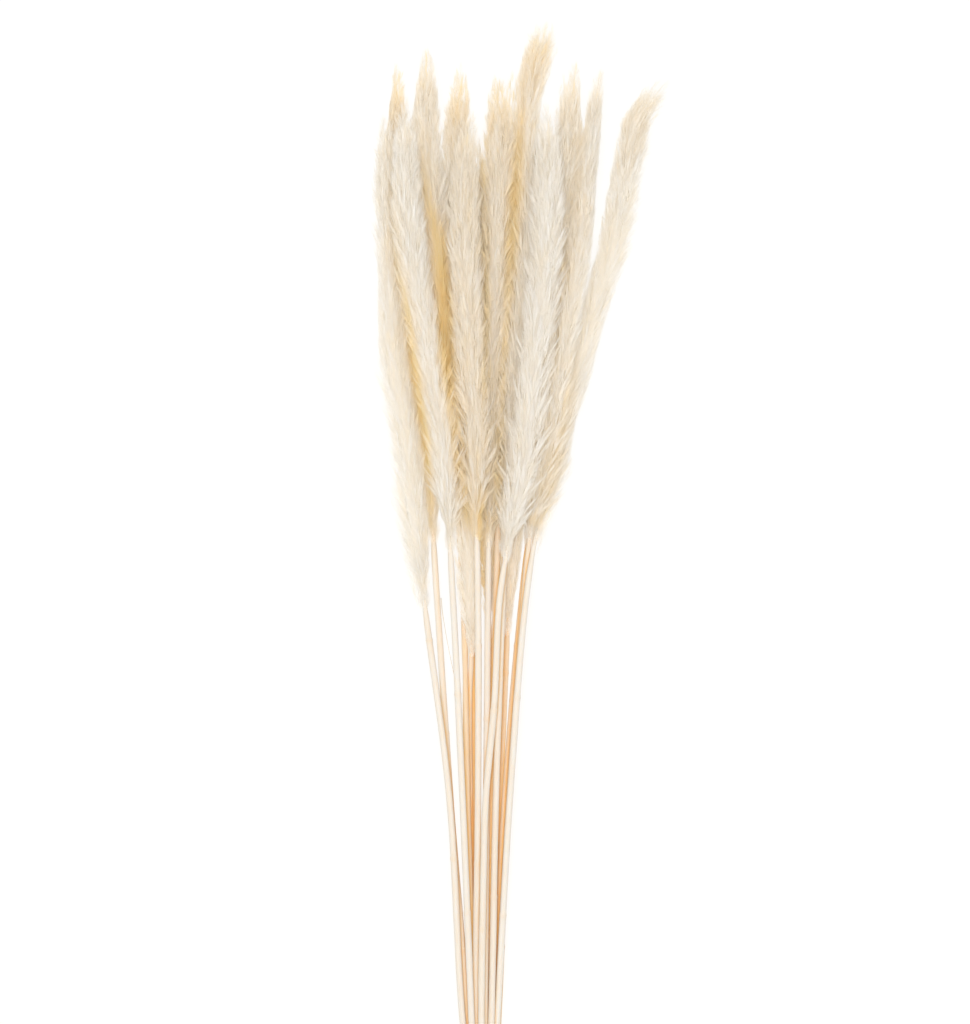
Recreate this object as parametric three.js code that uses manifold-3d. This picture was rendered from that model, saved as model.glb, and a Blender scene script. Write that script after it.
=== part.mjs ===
// A bundle of dried, bleached miscanthus, laid down on a table: sixteen stalks, each a cane with a feathery
// plume, held by turns of twine near their cut ends.
// Millimetres. +Z is up from the table and +Y runs along the bundle, from the cut ends to the plume tips.
// The bundle is laid out from the middle of its tie (Y = 0), and is then moved so that the origin is the
// middle of its underside.
import * as THREE from "three";
import { mergeVertices } from "three/addons/utils/BufferGeometryUtils.js";
import Module from "manifold-3d";

const wasm = await Module();
wasm.setup();

// Canes: tapered tubes from the butt, at the cut end, to the neck, where the plume starts.
const CANE_SIDES = 6;
const CANE_RINGS = 11;
const BUTT_RADIUS = 2.1;
const NECK_RADIUS = 1.9;
const BUTT_Y = -75;
const BUTT_STAGGER = 3;
const STAGGER_STRIDE = 7;
const STAGGER_STEPS = 5;
const BUTT_SPLAY = 0.2;
const SAMPLES_PER_POINT = 60;

// The tie: turns of twine side by side round canes that are packed in rows.
const TURNS = 3;
const TWINE = 2.4;
const TURN_PITCH = 3.4;
const TURN_OVERLAP = 0.5;
const TWINE_ROUNDING = 0.28;
const CORNER_SEGMENTS = 2;
const TIE_GAP = 0.35;
const TIE_REACH = 24;
const CANE_PITCH = 4.5;
const ROW_RISE = CANE_PITCH * Math.sin(Math.PI / 3);
const FIRST_ROW = TWINE + TIE_GAP + BUTT_RADIUS;

// Plumes: a slim core with upswept tufts set round it by the golden angle.
const CORE_SIDES = 6;
const CORE_RINGS = 10;
const CORE_SHARE = 0.58;
const LEAST_CORE = 3.4;
const NECK_GAP = 0.3;
const FIRST_TUFT = 0.4;
const TUFT_PITCH = 9.4;
const TUFT_LENGTH = 47;
const TUFT_BELLY = 0.46;
const TUFT_HALF_WIDTH = 3.6;
const TUFT_RIDGE = 1.9;
const TUFT_KEEL = 1.1;
const GOLDEN_ANGLE = Math.PI * (3 - Math.sqrt(5));
const FILL_LENGTH = 42;
const BASE_FILL = 0.42;
const STALK_CLEAR = 0.45;
const LEAST_REACH = 4.6;
const TUFT_SWELL = 0.62;
const FULL_WIDTH_REACH = 6;
const TIP_ROUNDING = 6;
const MERGE_WITHIN = 1e-3;

const STRAW = { color: 0xe9dcc6, roughness: 0.55, metalness: 0 };
const PLUME_DOWN = { color: 0xefe5d6, roughness: 0.9, metalness: 0 };
const JUTE = { color: 0xc4a06b, roughness: 0.95, metalness: 0 };

// Rows of the tie, from the table up: where a cane stands in a row, some half pitches from the middle.
const slot = (row, halfSteps) => [(halfSteps * CANE_PITCH) / 2, FIRST_ROW + row * ROW_RISE];

// Each stalk, from the tie upwards: its slot, the points [x, y, z] that its axis runs through, the height y
// where its plume starts, the plume's reach from its axis, and the length over which it tapers to its tip.
// The last point is the plume's tip.
const STALKS = [
  { slot: slot(2, -3), neck: 441, reach: 12, taper: 75,
    path: [[-16, 135, 19], [-24.5, 285, 30], [-43.5, 435, 38],
    [-56, 547, 40], [-67, 622, 39], [-69, 697, 37], [-73, 797, 36]] },
  { slot: slot(1, -4), neck: 491, reach: 12, taper: 75,
    path: [[-12.5, 135, 11], [-24, 285, 14], [-34, 435, 17],
    [-42, 547, 14], [-55, 622, 12], [-63, 697, 11.5], [-66, 740, 12], [-65, 836, 18]] },
  { slot: slot(3, -2), neck: 484, reach: 13, taper: 75,
    path: [[-8.5, 135, 23], [-14.6, 285, 35], [-21.7, 435, 46],
    [-29, 547, 53], [-41, 622, 55], [-53, 697, 55], [-58.5, 804, 54]] },
  { slot: slot(1, -2), neck: 506, reach: 12.5, taper: 65,
    path: [[-6.7, 135, 13], [-11.2, 285, 19], [-14, 435, 28],
    [-21, 547, 33], [-27, 622, 34], [-33.7, 697, 35], [-42, 772, 36], [-42, 849, 34]] },
  { slot: slot(2, -1), neck: 493, reach: 13, taper: 75,
    path: [[-4.5, 135, 18], [-3, 285, 29], [-3, 435, 42],
    [-6, 547, 49], [-9.7, 622, 52], [-12.7, 697, 53], [-12, 772, 53], [-8.2, 797, 52]] },
  { slot: slot(0, -1), neck: 480, reach: 12, taper: 50,
    path: [[-2.6, 135, 7.5], [-4.5, 285, 13], [-8, 435, 20],
    [-13, 547, 18], [-18.5, 622, 14], [-22.5, 697, 12], [-20.2, 772, 13], [-15, 835, 20]] },
  { slot: slot(2, 1), neck: 487, reach: 12.5, taper: 60,
    path: [[2.4, 135, 17.5], [3.4, 285, 23], [4.5, 435, 31],
    [6, 547, 34], [8.2, 622, 35], [10, 697, 36], [12.7, 772, 37], [11.2, 826, 38]] },
  { slot: slot(1, 2), neck: 510, reach: 12.5, taper: 32,
    path: [[5.4, 135, 12], [7.5, 285, 15], [10.5, 435, 20],
    [14, 547, 19], [18, 622, 14], [24, 697, 12], [30, 772, 16], [38, 832, 24], [47, 865, 30]] },
  { slot: slot(3, 0), neck: 476, reach: 14, taper: 75,
    path: [[-0.4, 135, 24], [0.8, 210, 30], [2.8, 285, 36],
    [9.4, 360, 42], [13.1, 435, 46], [20, 480, 49], [32.6, 547, 54], [40.5, 622, 57], [47.6, 697, 58],
    [49.5, 772, 57], [50, 804, 56]] },
  { slot: slot(3, 2), neck: 480, reach: 12.5, taper: 75,
    path: [[7.5, 135, 20.5], [10.5, 285, 27], [15.7, 435, 33],
    [21.5, 547, 36], [26, 622, 36], [34, 697, 36], [38, 772, 37], [40.5, 806, 36]] },
  { slot: slot(0, 3), neck: 487, reach: 11.5, taper: 60,
    path: [[10.2, 135, 8], [17.5, 285, 13], [30, 435, 22],
    [43, 547, 30], [52.5, 622, 34], [59, 697, 36], [64, 772, 36], [71, 835, 34]] },
  { slot: slot(1, 4), neck: 491, reach: 10.5, taper: 110,
    path: [[13, 135, 12.5], [20.5, 285, 18], [31.5, 435, 29],
    [37, 491, 36], [48, 547, 42], [60, 622, 46], [72.5, 697, 42], [81, 772, 38], [88.5, 832, 36]] },
  { slot: slot(2, 3), neck: 489, reach: 12.5, taper: 45,
    path: [[12.5, 135, 18.5], [21, 285, 27], [33, 435, 38],
    [42, 491, 32], [56, 547, 28], [76, 622, 24], [97, 697, 26], [111.5, 772, 30],
    [118, 799, 32], [133, 821, 36]] },
  { slot: slot(0, 1), neck: 421, reach: 11.5, taper: 75,
    path: [[6.2, 135, 5.6], [13.5, 285, 8], [20.5, 435, 12],
    [29, 547, 12], [37, 622, 11], [45, 697, 11.5], [48, 765, 16]] },
  { slot: slot(0, -3), neck: 405, reach: 11.5, taper: 75,
    path: [[-7.2, 135, 6], [-9, 285, 11], [-9.8, 322, 15.5], [-9.4, 360, 20], [-8, 400, 28],
    [-9.5, 435, 34], [-11.5, 495, 36.5], [-13, 547, 35], [-14, 622, 33], [-14, 697, 32.5], [-14, 765, 32.5]] },
  { slot: slot(1, 0), neck: 435, reach: 11.5, taper: 75,
    path: [[1.4, 135, 9.5], [3.2, 285, 11.5], [5, 435, 14],
    [2.5, 547, 11.5], [1, 622, 11], [0.5, 697, 11.5], [0, 780, 16]] },
];

// An axis as a function of y: the x and z of its middle there.
function axisOf(stalk, index) {
  const [x, z] = stalk.slot;
  const middle = FIRST_ROW + ROW_RISE * 1.5;
  const buttY = BUTT_Y + ((index * STAGGER_STRIDE) % STAGGER_STEPS) * BUTT_STAGGER;
  const butt = [x * (1 + BUTT_SPLAY), buttY, z + (z - middle) * BUTT_SPLAY];
  const points = [butt, [x, -TIE_REACH, z], [x, TIE_REACH, z], ...stalk.path];
  const curve = new THREE.CatmullRomCurve3(points.map((p) => new THREE.Vector3(...p)));
  const samples = curve.getPoints(SAMPLES_PER_POINT * points.length);
  const at = (y) => {
    const found = samples.findIndex((p) => p.y >= y);
    const next = found < 0 ? samples.length - 1 : Math.max(found, 1);
    const [a, b] = [samples[next - 1], samples[next]];
    const t = (y - a.y) / (b.y - a.y);
    return new THREE.Vector2(THREE.MathUtils.lerp(a.x, b.x, t), THREE.MathUtils.lerp(a.z, b.z, t));
  };
  return { at, buttY, tipY: stalk.path.at(-1)[1] };
}

const stalks = STALKS.map((stalk, index) => ({ ...stalk, ...axisOf(stalk, index) }));

function caneRadius(stalk, y) {
  return THREE.MathUtils.mapLinear(y, stalk.buttY, stalk.neck, BUTT_RADIUS, NECK_RADIUS);
}

// How far a plume's down reaches from its axis at y: it fills out from the neck and tapers to the tip.
function plumeReach(stalk, y) {
  const filling = BASE_FILL + ((1 - BASE_FILL) * (y - stalk.neck)) / FILL_LENGTH;
  const tapering = Math.sqrt(Math.max(stalk.tipY - y, 0) / stalk.taper);
  return stalk.reach * Math.min(1, filling, tapering);
}

// How much room a stalk takes round its axis at y: none past its ends.
function roomOf(stalk, y) {
  if (y < stalk.buttY || y > stalk.tipY) return 0;
  return y < stalk.neck ? caneRadius(stalk, y) : plumeReach(stalk, y);
}

// The solid middle of a stalk at y, which its neighbours leave clear.
function coreOf(stalk, y) {
  return y < stalk.neck ? caneRadius(stalk, y) : LEAST_CORE;
}

// The longest that an offset from a stalk's axis may be at y before it meets the table or leaves the
// share of the space between it and its neighbours.
function freeReach(stalk, y, direction) {
  const middle = stalk.at(y);
  let free = direction.y < 0 ? -middle.y / direction.y : Infinity;
  for (const other of stalks) {
    const room = roomOf(other, y);
    if (other === stalk || room === 0) continue;
    const apart = other.at(y).sub(middle);
    const distance = apart.length();
    const own = roomOf(stalk, y);
    const share = (distance + (own * own - room * room) / distance) / 2;
    const wall = THREE.MathUtils.clamp(share, coreOf(stalk, y), distance - coreOf(other, y)) - STALK_CLEAR;
    const towards = direction.dot(apart) / distance;
    if (towards > 0) free = Math.min(free, wall / towards);
  }
  return free;
}

// Moves a form that was made round the Y axis onto a stalk's axis. A soft form gives way where it meets
// the table or a neighbour.
function layAlong(stalk, geometry, soft) {
  const place = geometry.getAttribute("position");
  for (let i = 0; i < place.count; i++) {
    const y = place.getY(i);
    const offset = new THREE.Vector2(place.getX(i), place.getZ(i));
    const far = offset.length();
    if (soft && far > 0) {
      const free = freeReach(stalk, y, offset.clone().divideScalar(far));
      offset.setLength(Math.min(far, free));
    }
    const laid = stalk.at(y).add(offset);
    place.setXYZ(i, laid.x, y, laid.y);
  }
  return geometry;
}

function solidOf(geometry) {
  const bare = geometry.clone();
  bare.deleteAttribute("normal");
  bare.deleteAttribute("uv");
  const merged = mergeVertices(bare, MERGE_WITHIN);
  const vertProperties = merged.attributes.position.array;
  const triVerts = new Uint32Array(merged.index.array);
  return new wasm.Manifold(new wasm.Mesh({ numProp: 3, vertProperties, triVerts }));
}

function geometryOf(solid) {
  const { vertProperties, triVerts } = solid.getMesh();
  const geometry = new THREE.BufferGeometry();
  geometry.setAttribute("position", new THREE.BufferAttribute(vertProperties, 3));
  geometry.setIndex(new THREE.BufferAttribute(triVerts, 1));
  geometry.computeVertexNormals();
  return geometry;
}

function caneGeometry(stalk) {
  const profile = [new THREE.Vector2(0, stalk.buttY)];
  for (let ring = 0; ring <= CANE_RINGS; ring++) {
    const y = THREE.MathUtils.lerp(stalk.buttY, stalk.neck, ring / CANE_RINGS);
    profile.push(new THREE.Vector2(caneRadius(stalk, y), y));
  }
  profile.push(new THREE.Vector2(0, stalk.neck));
  return layAlong(stalk, new THREE.LatheGeometry(profile, CANE_SIDES), false);
}

function coreGeometry(stalk) {
  const start = stalk.neck + NECK_GAP;
  const profile = [new THREE.Vector2(0, start), new THREE.Vector2(NECK_RADIUS, start)];
  for (let ring = 1; ring < CORE_RINGS; ring++) {
    const y = THREE.MathUtils.lerp(start, stalk.tipY, ring / CORE_RINGS);
    profile.push(new THREE.Vector2(CORE_SHARE * plumeReach(stalk, y), y));
  }
  profile.push(new THREE.Vector2(0, stalk.tipY));
  return layAlong(stalk, new THREE.LatheGeometry(profile, CORE_SIDES), true);
}

// One tuft: from its root on the axis out to a broad belly, and on up to its pointed tip.
function tuftGeometry(stalk, rootY, turn) {
  const length = Math.min(TUFT_LENGTH, stalk.tipY - rootY);
  const bellyY = rootY + length * TUFT_BELLY;
  const tipY = rootY + length;
  const out = new THREE.Vector2(Math.cos(turn), Math.sin(turn));
  const tipReach = Math.min(plumeReach(stalk, tipY - TIP_ROUNDING), freeReach(stalk, tipY, out));
  const bellyRoom = freeReach(stalk, bellyY, out) - TUFT_RIDGE;
  const bellyReach = Math.min(plumeReach(stalk, bellyY) * TUFT_SWELL, bellyRoom);
  if (Math.min(tipReach, bellyReach + TUFT_RIDGE) < LEAST_REACH) return null;
  const half = TUFT_HALF_WIDTH * Math.min(1, bellyReach / FULL_WIDTH_REACH);
  const corner = (y, outwards, sideways) => [
    out.x * outwards - out.y * sideways,
    y,
    out.y * outwards + out.x * sideways,
  ];
  const corners = [
    corner(rootY, 0, 0),
    corner(bellyY, bellyReach - TUFT_KEEL, half),
    corner(bellyY, bellyReach + TUFT_RIDGE, 0),
    corner(bellyY, bellyReach - TUFT_KEEL, -half),
    corner(tipY, tipReach, 0),
  ];
  const geometry = new THREE.BufferGeometry();
  geometry.setAttribute("position", new THREE.Float32BufferAttribute(corners.flat(), 3));
  geometry.setIndex([0, 2, 1, 0, 3, 2, 0, 1, 3, 4, 1, 2, 4, 2, 3, 4, 3, 1]);
  return layAlong(stalk, geometry, true);
}

function plumeGeometry(stalk, index) {
  const forms = [coreGeometry(stalk)];
  const count = Math.floor((stalk.tipY - stalk.neck - TUFT_LENGTH / 2) / TUFT_PITCH);
  for (let tuft = 0; tuft < count; tuft++) {
    const rootY = stalk.neck + NECK_GAP + (tuft + FIRST_TUFT) * TUFT_PITCH;
    const form = tuftGeometry(stalk, rootY, index + tuft * GOLDEN_ANGLE);
    if (form) forms.push(form);
  }
  return geometryOf(wasm.Manifold.union(forms.map(solidOf)));
}

// The outline round the packed canes, a given distance from the centres of the outermost ones.
function tieOutline(distance) {
  const half = CANE_PITCH / 2;
  const top = FIRST_ROW + 3 * ROW_RISE;
  const corners = [
    [3 * half, FIRST_ROW, -90],
    [4 * half, FIRST_ROW + ROW_RISE, -30],
    [2 * half, top, 30],
    [-2 * half, top, 90],
    [-4 * half, FIRST_ROW + ROW_RISE, 150],
    [-3 * half, FIRST_ROW, 210],
  ];
  const outline = new THREE.Path();
  corners.forEach(([x, z, from]) => {
    const start = THREE.MathUtils.degToRad(from);
    outline.absarc(x, z, distance, start, start + Math.PI / 3, false);
  });
  outline.closePath();
  return outline;
}

function tieGeometry() {
    const inner = BUTT_RADIUS + TIE_GAP;
  const bevel = TWINE * TWINE_ROUNDING;
  const shape = new THREE.Shape(tieOutline(inner + TWINE).getPoints(CORNER_SEGMENTS));
  shape.holes.push(new THREE.Path(tieOutline(inner).getPoints(CORNER_SEGMENTS)));
  const depth = TURN_PITCH + TURN_OVERLAP - 2 * bevel;
  const turns = Array.from({ length: TURNS }, (_, turn) => {
    const ring = new THREE.ExtrudeGeometry(shape, {
      depth,
      bevelEnabled: true,
      bevelSegments: 1,
      bevelSize: bevel,
      bevelOffset: -bevel,
      bevelThickness: bevel,
    });
    ring.rotateX(Math.PI / 2);
    ring.translate(0, (turn - (TURNS - 1) / 2) * TURN_PITCH + depth / 2, 0);
    return solidOf(ring);
  });
  return geometryOf(wasm.Manifold.union(turns));
}

function piece(name, geometry, finish) {
  const mesh = new THREE.Mesh(geometry, new THREE.MeshStandardMaterial(finish));
  mesh.name = name;
  return mesh;
}

const layout = new THREE.Group();
stalks.forEach((stalk, index) => {
  const number = String(index + 1).padStart(2, "0");
  layout.add(piece(`stem_${number}`, caneGeometry(stalk), STRAW));
  layout.add(piece(`plume_${number}`, plumeGeometry(stalk, index), PLUME_DOWN));
});
layout.add(piece("tie", tieGeometry(), JUTE));

const box = new THREE.Box3().setFromObject(layout);
const middle = box.getCenter(new THREE.Vector3());
layout.position.set(-middle.x, -middle.y, -box.min.z);

const bundle = new THREE.Group();
bundle.add(layout);

export default bundle;
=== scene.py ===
"""Dresses a bundle of dried, bleached miscanthus that lies on a pale table.

Sixteen stalks, each a cane with a feathery plume, are held by a few turns of jute twine near their cut ends.
Sizes are in millimetres in the bundle's layout, where Y = 0 is the middle of the tie and Z = 0 the table;
the layout is moved as a whole onto the frame's own place when a mesh is written.
"""

import logging
import math
from dataclasses import dataclass, field
from enum import Enum

import bpy
import numpy as np
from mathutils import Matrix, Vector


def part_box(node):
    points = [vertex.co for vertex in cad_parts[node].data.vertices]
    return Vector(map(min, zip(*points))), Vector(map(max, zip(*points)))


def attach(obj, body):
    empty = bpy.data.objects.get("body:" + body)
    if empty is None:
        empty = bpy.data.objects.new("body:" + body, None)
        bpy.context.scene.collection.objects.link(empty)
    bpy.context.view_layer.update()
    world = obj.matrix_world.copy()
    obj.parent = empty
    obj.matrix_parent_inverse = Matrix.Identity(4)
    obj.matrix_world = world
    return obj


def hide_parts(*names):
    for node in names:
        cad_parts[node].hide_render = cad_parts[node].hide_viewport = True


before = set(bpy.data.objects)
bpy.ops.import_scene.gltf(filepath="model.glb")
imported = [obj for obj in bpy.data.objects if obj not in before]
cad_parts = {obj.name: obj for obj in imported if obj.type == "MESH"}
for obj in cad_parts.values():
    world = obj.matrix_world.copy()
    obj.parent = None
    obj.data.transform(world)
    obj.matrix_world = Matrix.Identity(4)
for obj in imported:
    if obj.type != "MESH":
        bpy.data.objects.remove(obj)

Array = np.ndarray
Mesh = tuple[Array, Array]
Pair = tuple[float, float]
Random = np.random.Generator
Material = bpy.types.Material
Tree = bpy.types.NodeTree
Socket = bpy.types.NodeSocket
Piece = bpy.types.Object

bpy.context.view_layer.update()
MM = 0.001
GOLDEN_ANGLE = math.pi * (3 - math.sqrt(5))
log = logging.getLogger("miscanthus")


# ---- colours and nodes


def linear(hex_colour: str) -> tuple[float, float, float, float]:
    """Turns an sRGB hex value into linear red, green and blue, with an alpha of 1."""
    digits = hex_colour.lstrip("#")
    values = [int(digits[i : i + 2], 16) / 255 for i in (0, 2, 4)]
    red, green, blue = (v / 12.92 if v <= 0.04045 else ((v + 0.055) / 1.055) ** 2.4 for v in values)
    return (red, green, blue, 1.0)


def add_node(tree: Tree, kind: str, settings: dict | None = None, links: dict | None = None) -> bpy.types.Node:
    """Adds one shader node.

    Args:
        tree: the material's or world's node tree.
        kind: the node's type name, after ShaderNode.
        settings: properties of the node, or values of its inputs, by name.
        links: output sockets to link from, by the name or number of the input.

    Returns:
        The new node.
    """
    made = tree.nodes.new("ShaderNode" + kind)
    for name, value in (settings or {}).items():
        if isinstance(name, str) and hasattr(made, name):
            setattr(made, name, value)
        else:
            made.inputs[name].default_value = value
    for name, socket in (links or {}).items():
        tree.links.new(socket, made.inputs[name])
    return made


def add_stops(tree: Tree, factor: Socket, stops: dict[float, str]) -> Socket:
    """Adds a colour ramp and returns its colour.

    Args:
        tree: the material's node tree.
        factor: what the ramp follows.
        stops: hex colours by their places, from low to high.

    Returns:
        The ramp's colour socket.
    """
    ramp = add_node(tree, "ValToRGB", links={"Fac": factor})
    elements = ramp.color_ramp.elements
    (first, low), *between, (last, high) = stops.items()
    elements[0].position, elements[0].color = first, linear(low)
    elements[1].position, elements[1].color = last, linear(high)
    for place, colour in between:
        elements.new(place).color = linear(colour)
    return ramp.outputs["Color"]


def new_material(name: str) -> tuple[Material, Tree]:
    """Makes an empty node material and returns it with its tree."""
    material = bpy.data.materials.new(name)
    material.use_nodes = True
    material.node_tree.nodes.clear()
    return material, material.node_tree


# ---- finishes


@dataclass(frozen=True)
class SilkyDown:
    """Bleached miscanthus down: fine silky hairs, pale at their tips and golden towards their roots, with painted
    warm shade between plumes.
    """

    tip: str = "#FDFCFA"
    middle: str = "#FDF9F1"
    # The root gold is the down's own colour near the rachis, and also the colour of the painted warm shade between
    # plumes and along the seams.
    root: str = "#FEF3CE"
    middle_tone: float = 0.35
    roughness: float = 0.75
    glow: float = 0.6

    def material(self) -> Material:
        """Returns the material, whose colour follows each plume's "tone" attribute."""
        material, tree = new_material("bleached miscanthus down, silky")
        tone = add_node(tree, "Attribute", {"attribute_name": "tone"})
        colour = add_stops(tree, tone.outputs["Fac"], {0.0: self.tip, self.middle_tone: self.middle, 1.0: self.root})
        silky = {"Roughness": self.roughness, "Specular IOR Level": 0.1, "Sheen Weight": 0.1}
        body = add_node(tree, "BsdfPrincipled", silky, {"Base Color": colour})
        through = add_node(tree, "BsdfTranslucent", links={"Color": colour})
        both = add_node(tree, "MixShader", {"Fac": self.glow}, {1: body.outputs["BSDF"], 2: through.outputs["BSDF"]})
        add_node(tree, "OutputMaterial", links={"Surface": both.outputs["Shader"]})
        return material


@dataclass(frozen=True)
class BleachedCane:
    """Bleached grass cane: a smooth dry skin with fine lengthwise fibres, satin."""

    pale: str = "#E3DFD7"
    # Straw is the cane's own tan, and also the colour of the painted shade under other canes.
    straw: str = "#E6BD80"
    roughness: float = 0.65
    fibre_mm: float = 0.5
    stretch: float = 0.012
    fibre_tone: float = 0.55
    base_tone: float = -0.26
    depth: float = 0.6
    depth_mm: float = 1.5

    def material(self) -> Material:
        """Returns the material; the fibres run along the cane, whose "tone" attribute warms it with straw colour and
        with painted shade under other canes.
        """
        material, tree = new_material("bleached grass cane, satin")
        place = add_node(tree, "TexCoord")
        across = 1 / (self.fibre_mm * MM)
        scale = (across, across * self.stretch, across)
        stretched = add_node(tree, "Mapping", {"Scale": scale}, {"Vector": place.outputs["Object"]})
        noise = {"Scale": 0.35, "Detail": 4.0, "Roughness": 0.6}
        fibres = add_node(tree, "TexNoise", noise, {"Vector": stretched.outputs["Vector"]})
        tone = add_node(tree, "Attribute", {"attribute_name": "tone"})
        spread = {"operation": "MULTIPLY_ADD", 1: self.fibre_tone, 2: self.base_tone}
        varied = add_node(tree, "Math", spread, {0: fibres.outputs["Fac"]})
        adding = {"operation": "ADD", "use_clamp": True}
        warm = add_node(tree, "Math", adding, {0: varied.outputs[0], 1: tone.outputs["Fac"]})
        colour = add_stops(tree, warm.outputs[0], {0.0: self.pale, 1.0: self.straw})
        relief = add_node(tree, "Bump", {"Strength": 0.25, "Distance": 0.1 * MM}, {"Height": fibres.outputs["Fac"]})
        skin = add_node(
            tree,
            "BsdfPrincipled",
            {
                "Roughness": self.roughness,
                "Specular IOR Level": 0.15,
                "Subsurface Weight": self.depth,
                "Subsurface Radius": (1.0, 0.9, 0.75),
                "Subsurface Scale": self.depth_mm * MM,
            },
            {"Base Color": colour, "Normal": relief.outputs["Normal"]},
        )
        add_node(tree, "OutputMaterial", links={"Surface": skin.outputs["BSDF"]})
        return material


@dataclass(frozen=True)
class JuteTwine:
    """Natural jute twine: rough, fibrous and matt, darker between its plies."""

    light: str = "#CFAF7C"
    dark: str = "#8E6A3E"
    roughness: float = 0.95
    fibre_mm: float = 0.25

    def material(self) -> Material:
        """Returns the material."""
        material, tree = new_material("natural jute twine")
        place = add_node(tree, "TexCoord")
        noise = {"Scale": 1 / (self.fibre_mm * 4 * MM), "Detail": 5.0, "Roughness": 0.7}
        fibres = add_node(tree, "TexNoise", noise, {"Vector": place.outputs["Object"]})
        colour = add_stops(tree, fibres.outputs["Fac"], {0.3: self.dark, 0.6: self.light})
        relief = add_node(tree, "Bump", {"Strength": 0.6, "Distance": 0.2 * MM}, {"Height": fibres.outputs["Fac"]})
        skin = add_node(
            tree,
            "BsdfPrincipled",
            {"Roughness": self.roughness, "Specular IOR Level": 0.15},
            {"Base Color": colour, "Normal": relief.outputs["Normal"]},
        )
        add_node(tree, "OutputMaterial", links={"Surface": skin.outputs["BSDF"]})
        return material


@dataclass(frozen=True)
class PaleFloor:
    """A plain matt near-white studio floor: a shooting table of opal acrylic, softly lit through from below."""

    colour: str = "#FBFAF8"
    glow: float = 0.84
    brightness: float = 1.06

    def material(self) -> Material:
        """Returns the material."""
        material, tree = new_material("opal acrylic studio floor")
        colour = linear(self.colour)
        skin = add_node(tree, "BsdfPrincipled", {"Base Color": colour, "Roughness": 1.0, "Specular IOR Level": 0.0})
        lit = add_node(tree, "Emission", {"Color": colour, "Strength": self.brightness})
        both = add_node(tree, "MixShader", {"Fac": self.glow}, {1: skin.outputs["BSDF"], 2: lit.outputs["Emission"]})
        add_node(tree, "OutputMaterial", links={"Surface": both.outputs["Shader"]})
        return material


# ---- the layout of the stalks


def clamp(value: Array | float) -> Array | float:
    """Returns a value held between 0 and 1."""
    return np.clip(value, 0, 1)


def off_axis(y: Array, turn: Array, out: Array) -> Array:
    """Returns offsets from an upright axis, from heights, turns round it and distances from it."""
    return np.stack([out * np.cos(turn), y, out * np.sin(turn)], axis=1)


# At the tie the canes lie in four rows of a hexagonal packing, inside the twine.
CANE_PITCH = 4.5
ROW_RISE = CANE_PITCH * math.sin(math.pi / 3)
BUTT_RADIUS = 2.1
NECK_RADIUS = 1.9
TWINE = 2.4
TIE_GAP = 0.35
FIRST_ROW = TWINE + TIE_GAP + BUTT_RADIUS
TIE_REACH = 24
# The cut ends are a little uneven and splay out below the tie.
BUTT_Y = -75
BUTT_STAGGER = 3
BUTT_SPLAY = 0.2
# A plume fills out from its neck up, keeps a core that neighbours leave alone, and stays clear of solid things.
FILL_LENGTH = 42
BASE_FILL = 0.42
LEAST_CORE = 3.4
CLEAR = 0.15
# How far from a neighbouring plume a point counts as crowded; the down's painted warm shade between plumes fades out
# over this distance.
SHADE_REACH = 14.0
# The heads of these two plumes stand apart, with open air between them.
PARTED = {12, 13}
PARTED_ABOVE = 660


class Down(Enum):
    """How a plume's down is gathered."""

    SLEEK = "sleek"
    FULL = "full"
    WISPY = "wispy"
    BUSHY = "bushy"


HEAD_TUFTS = {Down.SLEEK: 60, Down.FULL: 110, Down.WISPY: 90, Down.BUSHY: 190}
CLOSING = {Down.SLEEK: 1.1, Down.FULL: 0.9, Down.WISPY: 0.7, Down.BUSHY: 0.6}


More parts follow.
